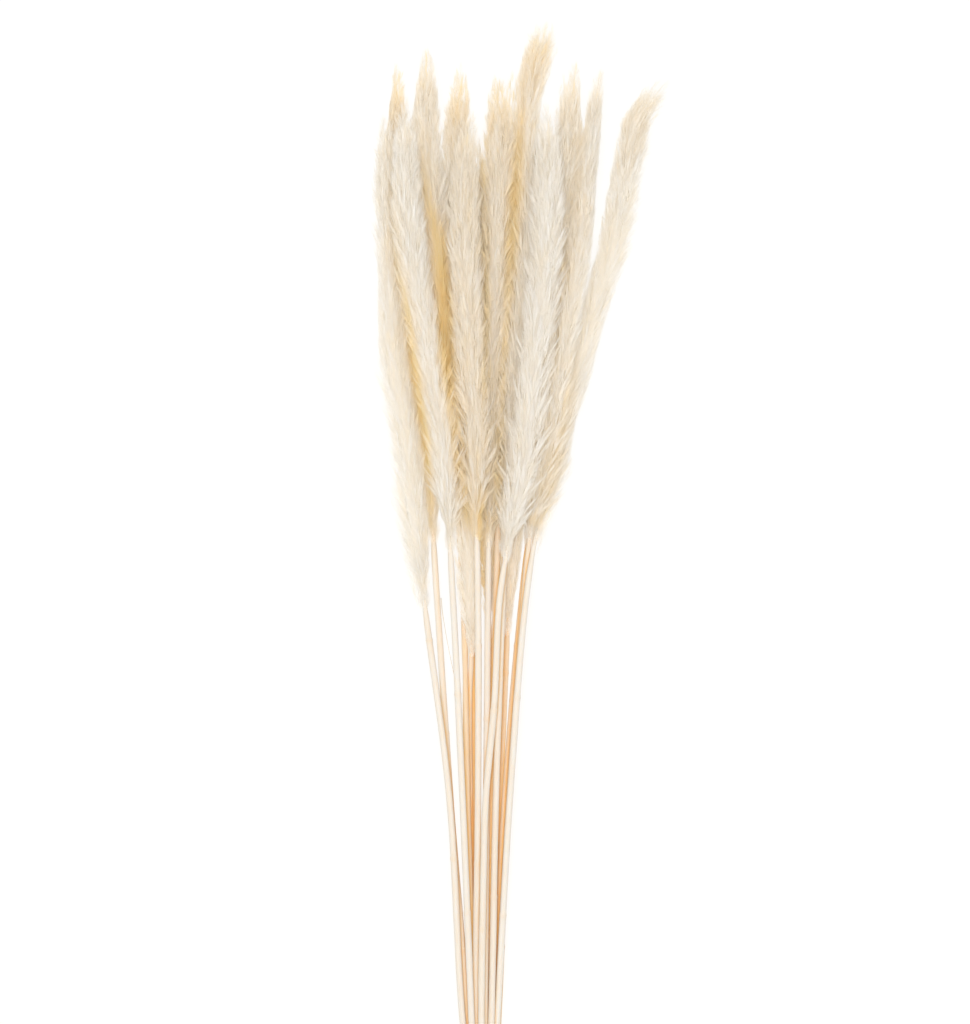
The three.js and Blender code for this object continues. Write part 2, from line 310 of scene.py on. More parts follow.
@dataclass
class Stalk:
    """One stalk: where its axis runs, where its plume starts and how far its down reaches.

    The path and the loose strip of sheath are points (x, y, z) in the layout; the ends are stray tips
    (x, y, length) of down that stand out of the outline.
    """

    number: int
    row: int
    half_steps: int
    neck: float
    reach: float
    warmth: float
    path: tuple
    down: Down = Down.FULL
    taper: float = 75.0
    side: float = 0.0
    tan: float = 0.25
    tufts: int = 800
    straw: float = 0.06
    ends: tuple = ()
    loose: tuple = ()
    samples: Array = field(init=False)

    def __post_init__(self) -> None:
        """Runs a smooth curve through the butt, the tie and the path."""
        x = self.half_steps * CANE_PITCH / 2
        z = FIRST_ROW + self.row * ROW_RISE
        middle = FIRST_ROW + 1.5 * ROW_RISE
        self.butt = BUTT_Y + ((self.number - 1) * 7 % 5) * BUTT_STAGGER
        butt = (x * (1 + BUTT_SPLAY), self.butt, z + (z - middle) * BUTT_SPLAY)
        points = np.array([butt, (x, -TIE_REACH, z), (x, TIE_REACH, z), *self.path], dtype=float)
        curve = smooth_curve(points, 60 * len(points))
        onward = curve[-1] + (curve[-1] - curve[-2]) * 60
        self.samples = np.vstack([curve, onward])
        self.tip = self.path[-1][1]

    @property
    def label(self) -> str:
        """The two-digit number used in names."""
        return f"{self.number:02d}"

    def at(self, y: Array) -> Array:
        """Returns the axis's x and z at each height y."""
        s = self.samples
        return np.stack([np.interp(y, s[:, 1], s[:, 0]), np.interp(y, s[:, 1], s[:, 2])], axis=-1)

    def cane_radius(self, y: Array) -> Array:
        """Returns the cane's radius at each height y."""
        return BUTT_RADIUS + (NECK_RADIUS - BUTT_RADIUS) * (y - self.butt) / (self.neck - self.butt)

    def plume_reach(self, y: Array) -> Array:
        """Returns how far the down reaches from the axis at each height y."""
        filling = BASE_FILL + (1 - BASE_FILL) * (y - self.neck) / FILL_LENGTH
        tapering = np.sqrt(np.maximum(self.tip - y, 0) / self.taper)
        return self.reach * np.minimum(1, np.minimum(filling, tapering))

    def room(self, y: Array) -> Array:
        """Returns the room the stalk takes round its axis at each height y, none past its ends."""
        radius = np.where(y < self.neck, self.cane_radius(y), self.plume_reach(y))
        return np.where((y < self.butt) | (y > self.tip), 0.0, radius)

    def core(self, y: Array) -> Array:
        """Returns the radius that neighbours leave clear at each height y."""
        return np.where(y < self.neck, self.cane_radius(y), LEAST_CORE)


def smooth_curve(points: Array, count: int) -> Array:
    """Samples a centripetal Catmull-Rom curve.

    Args:
        points: the points that the curve runs through.
        count: how many steps it is sampled in.

    Returns:
        count + 1 points on the curve.
    """
    ends = np.vstack([2 * points[0] - points[1], points, 2 * points[-1] - points[-2]])
    place = np.linspace(0, len(points) - 1, count + 1)
    first = np.minimum(place.astype(int), len(points) - 2)
    t = (place - first)[:, None]
    p0, p1, p2, p3 = (ends[first + k] for k in range(4))
    d0, d1, d2 = (np.sqrt(np.linalg.norm(b - a, axis=1))[:, None] for a, b in ((p0, p1), (p1, p2), (p2, p3)))
    leave = ((p1 - p0) / d0 - (p2 - p0) / (d0 + d1) + (p2 - p1) / d1) * d1
    arrive = ((p2 - p1) / d1 - (p3 - p1) / (d1 + d2) + (p3 - p2) / d2) * d1
    square = -3 * p1 + 3 * p2 - 2 * leave - arrive
    cube = 2 * p1 - 2 * p2 + leave + arrive
    return p1 + leave * t + square * t**2 + cube * t**3


STALKS = (
    Stalk(1, 2, -3, 441, 12, 0.05, ((-16, 135, 19), (-24.5, 285, 30), (-43.5, 435, 38), (-56, 547, 40),
        (-67, 622, 39), (-69, 697, 37), (-73, 797, 36)), side=-0.45, ends=((-66.8, 510, 24), (-63.8, 495, 22),
        (-57.8, 468, 22), (-54, 456, 20), (-78, 617, 22), (-82.5, 740, 14))),
    Stalk(2, 1, -4, 491, 12, 0.35, ((-12.5, 135, 11), (-24, 285, 14), (-34, 435, 17), (-42, 547, 14), (-55, 622, 12),
        (-63, 697, 11.5), (-66, 740, 12), (-65, 836, 18)), tan=0.9, tufts=700, straw=0.15, loose=((-31, 436, 17),
        (-30, 426, 21), (-26, 402, 22), (-22, 382, 20), (-19, 367, 16.5)), ends=((-60, 828, 45), (-56, 814, 40),
        (-66, 838, 45), (-69, 820, 35))),
    Stalk(3, 3, -2, 484, 13, 0.0, ((-8.5, 135, 23), (-14.6, 285, 35), (-21.7, 435, 46), (-29, 547, 53),
        (-41, 622, 55), (-53, 697, 55), (-58.5, 804, 54)), tufts=950),
    Stalk(4, 1, -2, 506, 12.5, 0.25, ((-6.7, 135, 13), (-11.2, 285, 19), (-14, 435, 28), (-21, 547, 33),
        (-27, 622, 34), (-33.7, 697, 35), (-42, 772, 36), (-42, 849, 34)), taper=65, tan=0.45, straw=0.5,
        ends=((-34, 821, 40), (-47, 831, 40), (-42, 851, 45))),
    Stalk(5, 2, -1, 493, 13, 0.5, ((-4.5, 135, 18), (-3, 285, 29), (-3, 435, 42), (-6, 547, 49), (-9.7, 622, 52),
        (-12.7, 697, 53), (-12, 772, 53), (-8.2, 797, 52)), tufts=950),
    Stalk(6, 0, -1, 480, 12, 0.25, ((-2.6, 135, 7.5), (-4.5, 285, 13), (-8, 435, 20), (-13, 547, 18),
        (-18.5, 622, 14), (-22.5, 697, 12), (-20.2, 772, 13), (-15, 835, 20)), taper=50, tan=0.8, tufts=700,
        straw=0.7, ends=((-23.3, 822, 40), (-15.5, 833, 45))),
    Stalk(7, 2, 1, 487, 12.5, 0.3, ((2.4, 135, 17.5), (3.4, 285, 23), (4.5, 435, 31), (6, 547, 34), (8.2, 622, 35),
        (10, 697, 36), (12.7, 772, 37), (11.2, 826, 38)), down=Down.WISPY, taper=60, tan=0.9, ends=((6, 815, 50),
        (11.2, 829, 50), (15.8, 826, 50), (19, 824, 50), (22.5, 832, 55), (27, 831, 55))),
    Stalk(8, 1, 2, 510, 12.5, 0.3, ((5.4, 135, 12), (7.5, 285, 15), (10.5, 435, 20), (14, 547, 19), (18, 622, 14),
        (24, 697, 12), (30, 772, 16), (38, 832, 24), (47, 865, 30)), down=Down.BUSHY, taper=20, tan=0.6, tufts=700,
        straw=0.35, ends=((32.3, 850, 35), (55.5, 842, 35), (42, 864, 45), (47, 869, 45), (51.8, 864, 40),
        (56.5, 850, 30), (53, 838, 26), (31, 845, 30), (37, 857, 40))),
    Stalk(9, 3, 0, 476, 14, 0.0, ((-0.4, 135, 24), (0.8, 210, 30), (2.8, 285, 36), (9.4, 360, 42), (13.1, 435, 46),
        (20, 480, 49), (32.6, 547, 54), (40.5, 622, 57), (47.6, 697, 58), (49.5, 772, 57), (50, 804, 56)), tufts=950),
    Stalk(10, 3, 2, 480, 12.5, 0.05, ((7.5, 135, 20.5), (10.5, 285, 27), (15.7, 435, 33), (21.5, 547, 36),
        (26, 622, 36), (34, 697, 36), (38, 772, 37), (40.5, 806, 36)), straw=0.12),
    Stalk(11, 0, 3, 487, 11.5, 0.2, ((10.2, 135, 8), (17.5, 285, 13), (30, 435, 22), (43, 547, 30), (52.5, 622, 34),
        (59, 697, 36), (64, 772, 36), (71, 835, 34)), down=Down.WISPY, taper=60, tan=0.5, straw=0.4,
        ends=((55, 808, 45), (58.5, 821, 50), (61.5, 831, 50), (66, 828, 50), (70.5, 838, 50), (72.8, 812, 40))),
    Stalk(12, 1, 4, 491, 10.5, 0.15, ((13, 135, 12.5), (20.5, 285, 18), (31.5, 435, 29), (37, 491, 36), (48, 547, 42),
        (60, 622, 46), (72.5, 697, 42), (81, 772, 38), (88.5, 832, 36)), down=Down.SLEEK, taper=110, tan=0.1,
        straw=0.2, ends=((84, 823, 45), (89.5, 836, 45))),
    Stalk(13, 2, 3, 489, 12.5, 0.1, ((12.5, 135, 18.5), (21, 285, 27), (33, 435, 38), (42, 491, 32), (56, 547, 28),
        (76, 622, 24), (97, 697, 26), (111.5, 772, 30), (118, 799, 32), (133, 821, 36)), down=Down.BUSHY, taper=28,
        side=0.2, tan=0.4, ends=((131, 829, 40), (134.5, 824, 36), (124, 822, 40), (118, 818, 40), (133.5, 812, 35),
        (130, 802, 30), (112, 807, 35), (47.3, 495, 20), (56.3, 510, 22), (60, 518, 22), (68.3, 536, 24),
        (70.5, 555, 24), (125.3, 779, 22), (122.3, 741, 22), (119.3, 729, 22), (111, 700, 22))),
    Stalk(14, 0, 1, 421, 11.5, 0.3, ((6.2, 135, 5.6), (13.5, 285, 8), (20.5, 435, 12), (29, 547, 12), (37, 622, 11),
        (45, 697, 11.5), (48, 765, 16)), side=0.1, tan=0.3, tufts=590, straw=0.4, ends=((30.8, 481, 16),
        (27.8, 465, 16), (25.5, 449, 16), (24, 435, 14))),
    Stalk(15, 0, -3, 405, 11.5, 0.3, ((-7.2, 135, 6), (-9, 285, 11), (-9.8, 322, 15.5), (-9.4, 360, 20),
        (-8, 400, 28), (-9.5, 435, 34), (-11.5, 495, 36.5), (-13, 547, 35), (-14, 622, 33), (-14, 697, 32.5),
        (-14, 765, 32.5)), tufts=590, straw=0.35),
    Stalk(16, 1, 0, 435, 11.5, 0.3, ((1.4, 135, 9.5), (3.2, 285, 11.5), (5, 435, 14), (2.5, 547, 11.5), (1, 622, 11),
        (0.5, 697, 11.5), (0, 780, 16)), tufts=590, straw=0.7),
)


def neighbours(stalk: Stalk) -> list[Stalk]:
    """Returns every other stalk."""
    return [other for other in STALKS if other is not stalk]


def free_reach(stalk: Stalk, y: Array, direction: Array, mingle: Array) -> Array:
    """Says how long an offset from a stalk's axis may be before it meets the table or a neighbour's share.

    Args:
        stalk: the stalk whose down is laid.
        y: heights, one for each offset.
        direction: unit directions in x and z, one for each offset.
        mingle: how far each offset may go in among a neighbouring plume's hairs.

    Returns:
        The free length in each direction.
    """
    middle = stalk.at(y)
    down = np.minimum(direction[:, 1], -1e-9)
    free = np.where(direction[:, 1] < 0, -(middle[:, 1] - CLEAR) / down, np.inf)
    own = stalk.room(y)
    for other in neighbours(stalk):
        room = other.room(y)
        apart = other.at(y) - middle
        distance = np.linalg.norm(apart, axis=1)
        share = (distance + (own**2 - room**2) / distance) / 2
        wall = np.clip(share, stalk.core(y), np.maximum(distance - other.core(y), 0.5)) - CLEAR
        towards = (direction * apart).sum(axis=1) / distance
        parted = (y > PARTED_ABOVE) & ({stalk.number, other.number} == PARTED)
        wall = wall + np.where((room > 2 * other.cane_radius(y)) & ~parted, mingle, 0)
        limit = np.where((towards > 1e-6) & (room > 0), wall / np.maximum(towards, 1e-6), np.inf)
        free = np.minimum(free, limit)
    return np.maximum(free, 0.5)


def crowding(stalk: Stalk, points: Array) -> Array:
    """Says how closely other plumes press on each point, from 0 in open air to about 1 deep between two; it pushes
    tufts out, and on the down it sets the painted warm shade in the crevices.
    """
    pressed = np.zeros(len(points))
    y = points[:, 1]
    for other in neighbours(stalk):
        room = other.room(y)
        gap = np.linalg.norm(points[:, [0, 2]] - other.at(y), axis=1) - room
        near = clamp(1 - gap / SHADE_REACH)
        pressed += np.where(room > other.cane_radius(y) * 1.5, near**2, 0)
    return clamp(pressed * 0.6)


@dataclass(frozen=True)
class ShadeSeam:
    """A seam between plumes, where the down is painted gold as warm shade in the gap between them.

    Its line runs from the top down: across, height, strength and half-width at each point.
    """

    line: tuple

    def warmth(self, points: Array) -> Array:
        """Returns how golden the painted shade makes the down at each point of the layout."""
        x, y, strength, width = np.array(self.line[::-1], dtype=float).T
        middle, strong, wide = (np.interp(points[:, 1], y, values) for values in (x, strength, width))
        return strong * np.exp(-(((points[:, 0] - middle) / wide) ** 2))


# Painted warm shade along the gaps between plumes, from the top down.
SHADE_SEAMS = (
    ShadeSeam(((-66, 765, 0, 4), (-64.5, 697, 0.3, 4), (-56, 652, 0.6, 4), (-50, 607, 0.85, 4), (-43, 562, 0.85, 3.5),
        (-39, 517, 0.5, 3), (-39, 470, 0, 3))),
    ShadeSeam(((-44, 800, 0, 3), (-42, 742, 0.3, 3.5), (-33, 705, 0.75, 5), (-29, 660, 0.9, 5.5), (-27, 615, 0.9, 5),
        (-24, 580, 0.6, 4), (-20, 545, 0.35, 3.5), (-16, 520, 0.4, 4), (-10, 490, 0.25, 3), (-9, 470, 0, 3))),
    ShadeSeam(((30, 820, 0, 4), (28, 770, 0.45, 5), (25, 735, 0.6, 5.5), (22, 690, 0.55, 4.5), (19, 650, 0.3, 3),
        (16, 600, 0.3, 2.5), (13, 540, 0.2, 2.5), (11, 480, 0.35, 2), (10, 440, 0, 2))),
    ShadeSeam(((8, 800, 0, 3), (1, 765, 0.35, 3), (2, 720, 0.35, 3.5), (4, 660, 0.35, 3), (2, 600, 0.35, 2.5),
        (0, 550, 0, 3))),
    ShadeSeam(((-3, 530, 0, 2.5), (-1, 500, 0.5, 2.5), (0, 450, 0.6, 2.5), (2, 390, 0.6, 2.5), (2, 370, 0, 2.5))),
    ShadeSeam(((72, 640, 0, 3), (66, 600, 0.2, 3), (59, 560, 0.2, 3), (52, 520, 0.15, 3), (48, 500, 0, 3))),
)


@dataclass(frozen=True)
class Edge:
    """Where a plume's down ends on one side (-1 left, 1 right): (height, across) from its lowest height up."""

    number: int
    side: int
    line: tuple
    firmness: float = 0.85
    run_out: float = 8
    waves: tuple = ((0.8, 2.9), (0.6, 1.3))

    def trim(self, x: Array, y: Array) -> Array:
        """Returns x at heights y, drawn back where it passes the edge, which is a little ragged."""
        heights, limits = np.array(self.line, dtype=float).T
        (broad, long), (fine, short) = self.waves
        ragged = broad * np.sin(y / long + self.number) + fine * np.sin(y / short)
        over = np.maximum(self.side * (x - np.interp(y, heights, limits)) + ragged, 0)
        above = clamp((y - heights[0]) / self.run_out + 1)
        near = above * clamp((heights[-1] - y) / self.run_out + 1)
        return x - self.side * self.firmness * over * near


EDGES = (
    Edge(1, -1, ((622, -76.8), (637, -77.5), (697, -78.3))),
    Edge(1, 1, ((470, -41), (490, -37), (512, -35))),
    Edge(2, -1, ((790, -70.7), (823, -67.3), (850, -66))),
    Edge(3, -1, ((484, -26), (492, -28), (512, -33))),
    Edge(4, -1, ((803, -51), (832, -47), (848, -43.5))),
    Edge(4, 1, ((808, -32), (832, -35), (848, -40.5))),
    Edge(6, 1, ((785, -6.5), (800, -8), (830, -12), (845, -14.5))),
    Edge(7, -1, ((780, -1), (792, 1), (824, 8), (845, 9))),
    Edge(8, -1, ((812, 24.5), (830, 26.5), (845, 31.5), (858, 33), (870, 37))),
    Edge(8, 1, ((798, 42.5), (812, 44.5), (836, 51.5), (848, 56.5), (860, 56.5), (872, 51))),
    Edge(10, 1, ((785, 48), (800, 47), (815, 45))),
    Edge(11, -1, ((785, 50), (800, 51.5), (823, 53.5), (835, 58))),
    Edge(11, 1, ((795, 73), (830, 73), (850, 72))),
    Edge(12, -1, ((795, 76.5), (823, 80), (850, 86))),
    Edge(12, 1, ((690, 82.4), (735, 84), (772, 88), (800, 90), (832, 91.5))),
    Edge(13, -1, ((690, 85), (735, 93.4), (772, 100), (797, 105), (808, 111), (817, 119), (826, 128))),
    Edge(13, 1, ((545, 66), (574, 70), (592, 79), (622, 86), (640, 90.5), (655, 95), (680, 104))),
    Edge(14, 1, ((424, 22), (450, 26), (480, 30), (500, 32))),
)


# ---- meshes


def layout_shift() -> Array:
    """Returns what moves the layout onto the frame, found from the tie's box, in millimetres."""
    low, high = (np.array(corner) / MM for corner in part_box("tie"))
    return np.array([(low[0] + high[0]) / 2, (low[1] + high[1]) / 2, low[2]])


SHIFT = layout_shift()


def write_mesh(name: str, vertices: Array, triangles: Array, smooth: bool) -> Piece:
    """Makes an object at the origin from triangles in the layout.

    Args:
        name: the object's name.
        vertices: places in the layout, in millimetres.
        triangles: three vertex numbers each.
        smooth: whether faces are shaded smooth.

    Returns:
        The new object.
    """
    mesh = bpy.data.meshes.new(name)
    mesh.vertices.add(len(vertices))
    mesh.vertices.foreach_set("co", ((vertices + SHIFT) * MM).astype(np.float32).ravel())
    mesh.loops.add(triangles.size)
    mesh.loops.foreach_set("vertex_index", triangles.astype(np.int32).ravel())
    mesh.polygons.add(len(triangles))
    mesh.polygons.foreach_set("loop_start", np.arange(0, triangles.size, 3, dtype=np.int32))
    mesh.polygons.foreach_set("use_smooth", np.full(len(triangles), smooth))
    mesh.update(calc_edges=True)
    mesh.validate()
    made = bpy.data.objects.new(name, mesh)
    bpy.context.scene.collection.objects.link(made)
    return made


def set_tone(made: Piece, tone: Array) -> None:
    """Stores a warmth for each vertex, which the finishes read; on the plumes and canes part of it is painted shade.
    """
    attribute = made.data.attributes.new("tone", "FLOAT", "POINT")
    attribute.data.foreach_set("value", tone.astype(np.float32))


def ring_angles(sides: int) -> Array:
    """Returns the angles of a ring's vertices."""
    return np.arange(sides) * 2 * math.pi / sides


def tube(rings: int, sides: int) -> Array:
    """Builds the triangles of a closed tube, whose last two vertices are the end centres."""
    faces = []
    for ring in range(rings - 1):
        for side in range(sides):
            a = ring * sides + side
            b = ring * sides + (side + 1) % sides
            faces += [(a, b, b + sides), (a, b + sides, a + sides)]
    first, last = rings * sides, rings * sides + 1
    for side in range(sides):
        after = (side + 1) % sides
        faces += [(first, after, side), (last, (rings - 1) * sides + side, (rings - 1) * sides + after)]
    return np.array(faces)


def rod(line: Array, radius: Array, sides: int) -> Mesh:
    """Makes a closed tube with level rings round a line.

    Args:
        line: the middles of the rings, in the layout.
        radius: one row a ring, of one radius or one for each side.
        sides: how many vertices a ring has.

    Returns:
        Vertices and triangles.
    """
    angles = ring_angles(sides)
    rings = np.repeat(line[:, None], sides, axis=1)
    rings[:, :, 0] += radius * np.sin(angles)
    rings[:, :, 2] += radius * np.cos(angles)
    return np.vstack([rings.reshape(-1, 3), line[[0, -1]]]), tube(len(line), sides)


def upright(heights: Array) -> Array:
    """Returns points on the Y axis at the given heights."""
    return np.stack([np.zeros(len(heights)), heights, np.zeros(len(heights))], axis=1)


def join(parts: list[Mesh]) -> Mesh:
    """Joins vertices and triangles of several parts into one mesh."""
    starts = np.cumsum([0] + [len(vertices) for vertices, _ in parts])
    triangles = [faces + start for (_, faces), start in zip(parts, starts)]
    return np.vstack([vertices for vertices, _ in parts]), np.vstack(triangles)


@dataclass(frozen=True)
class Shape:
    """A closed mesh as plain arrays: places and the three vertex numbers of each triangle."""

    places: Array
    triangles: Array


def take_shape(made: Piece) -> Shape:
    """Reads a modelled object, in object mode, as triangles and removes it."""
    mesh = made.data
    mesh.calc_loop_triangles()
    places = np.empty(len(mesh.vertices) * 3)
    mesh.vertices.foreach_get("co", places)
    triangles = np.empty(len(mesh.loop_triangles) * 3, dtype=np.int32)
    mesh.loop_triangles.foreach_get("vertices", triangles)
    bpy.data.objects.remove(made)
    bpy.data.meshes.remove(mesh)
    return Shape(places.reshape(-1, 3), triangles.reshape(-1, 3))


def set_mode(mode: str, select: str = "") -> None:
    """Enters a mode, and in edit mode selects or deselects everything where asked."""
    bpy.ops.object.mode_set(mode=mode)
    if select:
        bpy.ops.mesh.select_all(action=select)


# ---- sub-assemblies


@dataclass
class Cane:
    """One cane: a smooth tapered culm with a few joints, each with the worn edge of its leaf sheath."""

    stalk: Stalk
    sides: int = 16
    joint_every: float = 165.0
    joint_swell: float = 0.22
    ring_every: float = 12.0
    sheath: float = 0.45
    pith_depth: float = 0.8
    rim: float = 0.45
    # How strongly the painted shade under other canes warms the cane's colour.
    between: float = 0.8
    shade_gap_reach: float = 2.0
    neck_length: float = 22.0
    neck_thinning: float = 0.3
    sheath_edge: float = 0.12
    joint_tone: float = 0.12
    strip_radii: Pair = (0.45, 0.15)

    def rings(self, rng: Random) -> tuple[Array, Array, Array]:
        """Returns the heights of the joints, and the heights and radii of the cane's rings."""
        stalk = self.stalk
        joints = np.arange(stalk.butt + rng.uniform(60, 150), stalk.neck - 30, self.joint_every)
        edges = np.concatenate([[j - 3, j - 1, j, j + 1, j + 2.2, j + 2.4] for j in joints])
        edges = np.append(edges, stalk.neck - np.array([self.neck_length, 15.0, 8.0]))
        heights = np.unique(np.concatenate([np.arange(stalk.butt, stalk.neck, self.ring_every), [stalk.neck], edges]))
        heights = heights[(heights >= stalk.butt) & (heights <= stalk.neck)]
        radius = stalk.cane_radius(heights)
        for joint in joints:
            away = heights - joint
            radius = radius + self.joint_swell * np.exp(-((away / 1.1) ** 2))
            radius = radius + self.sheath_edge * ((away > -45) & (away < 2.3))
        narrowing = clamp(1 - (stalk.neck - heights) / self.neck_length)
        radius = radius * (1 - self.neck_thinning * narrowing)
        clothed = clamp((heights - TIE_REACH - 20) / 40) * clamp((stalk.neck - heights) / 25)
        radius = radius + self.sheath * clothed
        return joints, heights, np.minimum(radius, self.space(heights))

    def space(self, heights: Array) -> Array:
        """Returns the radius that keeps the cane clear of every other cane at each height."""
        middle = self.stalk.at(heights)
        free = np.full(len(heights), np.inf)
        for other in neighbours(self.stalk):
            distance = np.linalg.norm(other.at(heights) - middle, axis=1)
            free = np.minimum(free, np.where(other.room(heights) > 0, distance - other.cane_radius(heights), np.inf))
        return np.maximum(free - CLEAR - self.sheath / 2, self.stalk.cane_radius(heights) * 0.98)

    def model(self, heights: Array, radius: Array) -> Shape:
        """Models the cane straight, along Z: a round butt with a sunk pith, drawn up ring by ring."""
        bpy.ops.mesh.primitive_circle_add(vertices=self.sides, radius=radius[0], fill_type="NGON")
        made = bpy.context.active_object
        set_mode("EDIT", "SELECT")
        for k in range(1, len(heights)):
            rise = float(heights[k] - heights[k - 1])
            grow = float(radius[k] / radius[k - 1])
            bpy.ops.mesh.extrude_region_move(TRANSFORM_OT_translate={"value": (0, 0, rise)})
            bpy.ops.transform.resize(value=(grow, grow, 1))
        bpy.ops.mesh.select_all(action="DESELECT")
        bpy.ops.mesh.select_mode(type="FACE")
        set_mode("OBJECT")
        for face in made.data.polygons:
            face.select = face.center.z < 1e-6
        set_mode("EDIT")
        bpy.ops.mesh.inset(thickness=self.rim)
        bpy.ops.mesh.extrude_region_move(TRANSFORM_OT_translate={"value": (0, 0, self.pith_depth)})
        bpy.ops.mesh.select_all(action="SELECT")
        bpy.ops.mesh.normals_make_consistent(inside=False)
        set_mode("OBJECT")
        return take_shape(made)

    def shade_under_canes(self, points: Array) -> Array:
        """Returns how far each point lies under other canes, from 0 to 1, as painted shade."""
        close = np.zeros(len(points))
        y = points[:, 1]
        for other in neighbours(self.stalk):
            apart = other.at(y) - points[:, [0, 2]]
            gap = np.abs(apart[:, 0]) - other.cane_radius(y)
            under = (apart[:, 1] > 0) & (y < other.neck)
            close += np.where(under, clamp(1 - gap / self.shade_gap_reach), 0)
        return clamp(close)

    def strip(self) -> Mesh:
        """Makes the thin strip that has come loose from the sheath: vertices in the layout and triangles."""
        line = smooth_curve(np.array(self.stalk.loose, dtype=float), 20)
        return rod(line, np.linspace(*self.strip_radii, len(line))[:, None], 3)

    def build(self, finish: Material) -> Piece:
        """Builds the cane along its axis and dresses it with its finish."""
        stalk = self.stalk
        rng = np.random.default_rng(500 + stalk.number)
        joints, heights, radius = self.rings(rng)
        straight = self.model(heights, radius)
        y = straight.places[:, 2] + heights[0]
        middle = stalk.at(y)
        vertices = np.stack([middle[:, 0] + straight.places[:, 0], y, middle[:, 1] - straight.places[:, 1]], axis=1)
        triangles = straight.triangles
        if stalk.loose:
            vertices, triangles = join([(vertices, triangles), self.strip()])
            y = vertices[:, 1]
        made = write_mesh(f"stem_{stalk.label}_cane", vertices, triangles, True)
        tone = stalk.straw + rng.uniform(0, 0.1)
        near_joint = sum(np.exp(-(((y - j) / 2.5) ** 2)) for j in joints)
        # Straw colour and darker joints are the cane's own; the warming under other canes is painted shade.
        tone = tone + self.joint_tone * near_joint + self.between * self.shade_under_canes(vertices)
        set_tone(made, clamp(tone))
        made.data.materials.append(finish)
        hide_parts(f"stem_{stalk.label}")
        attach(made, "root")
        return made


@dataclass
class Tuft:
    """One tuft of silky hairs, modelled once and straight: a pointed feathery barb.

    Its length runs along Z, its flat side faces Y, and its hairs fan out along X.
    """

    hairs: int = 12
    length: float = 23.0
    hair_lengths: Pair = (11.0, 16.0)
    hair_width: float = 0.36
    hair_depth: float = 0.3
    fan: Pair = (0.0, 0.26)
    lift: float = 0.12
    scatter: float = 1.3

    def model_hair(self) -> Shape:
        """Models a single hair as a flat three-sided spike of unit length that faces +Y."""
        bpy.ops.mesh.primitive_cone_add(vertices=3, radius1=0.5, radius2=0, depth=1, location=(0, 0, 0.5))
        made = bpy.context.active_object
        bpy.ops.object.transform_apply(location=True, rotation=True, scale=True)
        set_mode("EDIT", "SELECT")
        bpy.ops.transform.resize(value=(self.hair_width / 0.866, -self.hair_depth / 0.75, 1))
        bpy.ops.mesh.normals_make_consistent(inside=False)
        set_mode("OBJECT")
        return take_shape(made)

    def build(self, seed: int) -> Shape:
        """Sets the hairs along the tuft, at places drawn from the seed."""
        rng = np.random.default_rng(seed)
        hair = self.model_hair()
        count = self.hairs
        low, high = self.hair_lengths
        share = (np.arange(count) + rng.uniform(0, 1, count)) / count
        long = rng.uniform(low, high, count) * (1 - 0.25 * share)
        start = share * (self.length - high * 0.72)
        side = np.where(np.arange(count) % 2 == 0, 1, -1)
        fan = side * rng.uniform(*self.fan, count) * (1 - 0.45 * share)
        lift = rng.uniform(-self.lift, self.lift, count)
        along = np.stack([np.sin(fan), lift, np.cos(fan)], axis=1)
        along /= np.linalg.norm(along, axis=1)[:, None]
        facing = np.stack([rng.uniform(-0.2, 0.2, count), np.ones(count), -lift], axis=1)
        facing -= (facing * along).sum(axis=1)[:, None] * along
        facing /= np.linalg.norm(facing, axis=1)[:, None]
        across = np.cross(facing, along)
        part = hair.places[None]
        places = part[..., :1] * across[:, None] + part[..., 1:2] * facing[:, None]
        places = places + part[..., 2:] * (along * long[:, None])[:, None]
        places[..., 2] += start[:, None]
        places[..., :2] += rng.normal(0, self.scatter, (count, 1, 2))
        numbers = np.arange(count)[:, None, None] * len(hair.places) + hair.triangles[None]
        return Shape(places.reshape(-1, 3), numbers.reshape(-1, 3))


